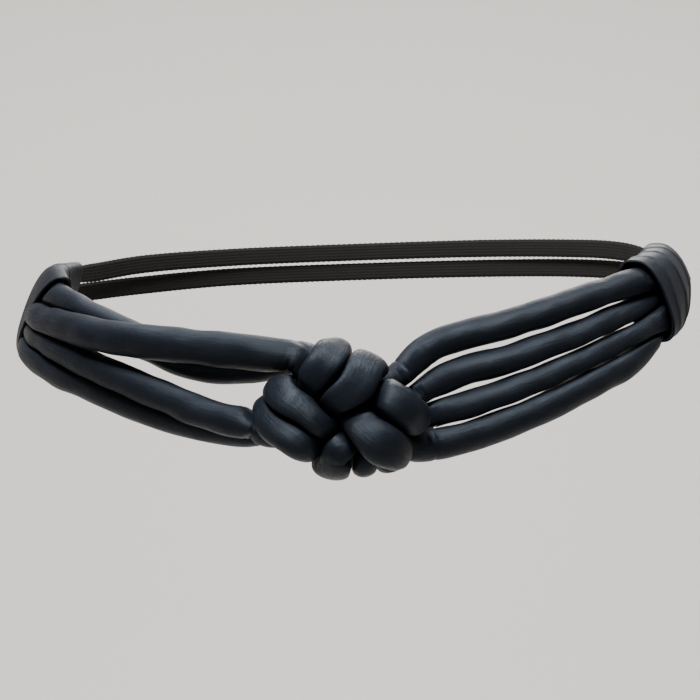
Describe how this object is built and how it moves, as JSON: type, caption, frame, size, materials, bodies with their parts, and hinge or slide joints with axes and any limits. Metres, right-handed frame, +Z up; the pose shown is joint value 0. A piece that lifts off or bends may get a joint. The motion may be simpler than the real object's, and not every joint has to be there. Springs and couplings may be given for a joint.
{
  "type": "knotted cord obi belt",
  "caption": "Worn obi sash belt of stuffed satin cords crossed in a crown knot in front, with a pleated satin wrap at each hip and elastic straps behind.",
  "frame": {"origin": "middle of the wearer's hips, at the height where the belt passes over them", "axes": "+Z up, -Y towards the wearer's front and the knot, +X towards the wearer's left"},
  "size_m": [0.3055, 0.2362, 0.0991],
  "materials": {
    "satin": "soft satin sheen, near-black navy",
    "elastic": "matt ribbed elastic"
  },
  "bodies": {
    "root": {"cord_upper_inner": "satin", "cord_upper_outer": "satin", "cord_lower_outer": "satin", "cord_lower_inner": "satin", "wrap_left": "satin", "wrap_right": "satin", "elastic_upper": "elastic", "elastic_lower": "elastic"}
  },
  "joints": []
}
